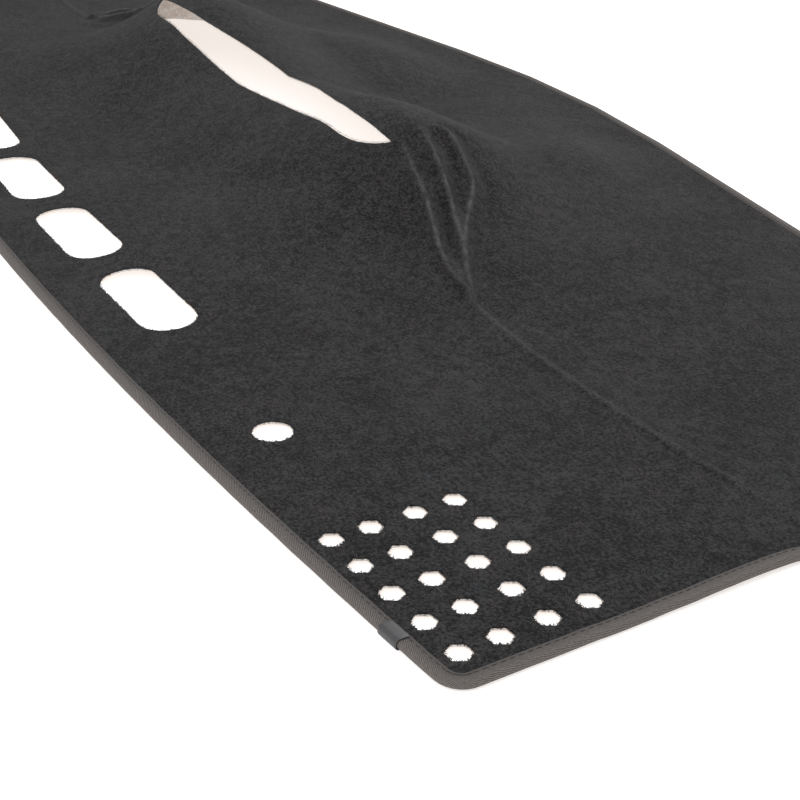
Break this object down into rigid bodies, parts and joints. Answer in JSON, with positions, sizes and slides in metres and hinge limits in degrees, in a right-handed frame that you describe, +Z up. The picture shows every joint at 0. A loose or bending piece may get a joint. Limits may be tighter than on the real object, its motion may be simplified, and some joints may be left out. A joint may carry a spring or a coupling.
{
  "type": "dashboard cover mat",
  "caption": "Moulded carpet mat that lies over a vehicle's dashboard, with demister slots, punched speaker grilles, a sensor hole, a hooded display opening and a tape-bound edge.",
  "frame": {"origin": "on the floor, under the middle of the mat's box", "axes": "+X along the dashboard towards the end without the sensor hole, +Y towards the windscreen, +Z up"},
  "size_m": [1.4586, 0.5674, 0.0675],
  "materials": {
    "felt": "matt needled nap",
    "binding_tape": "matt twill weave",
    "joint_cover": "satin"
  },
  "bodies": {
    "root": {"carpet_sheet": "felt", "edge_binding": "binding_tape", "binding_joint_cover": "joint_cover"}
  },
  "joints": []
}
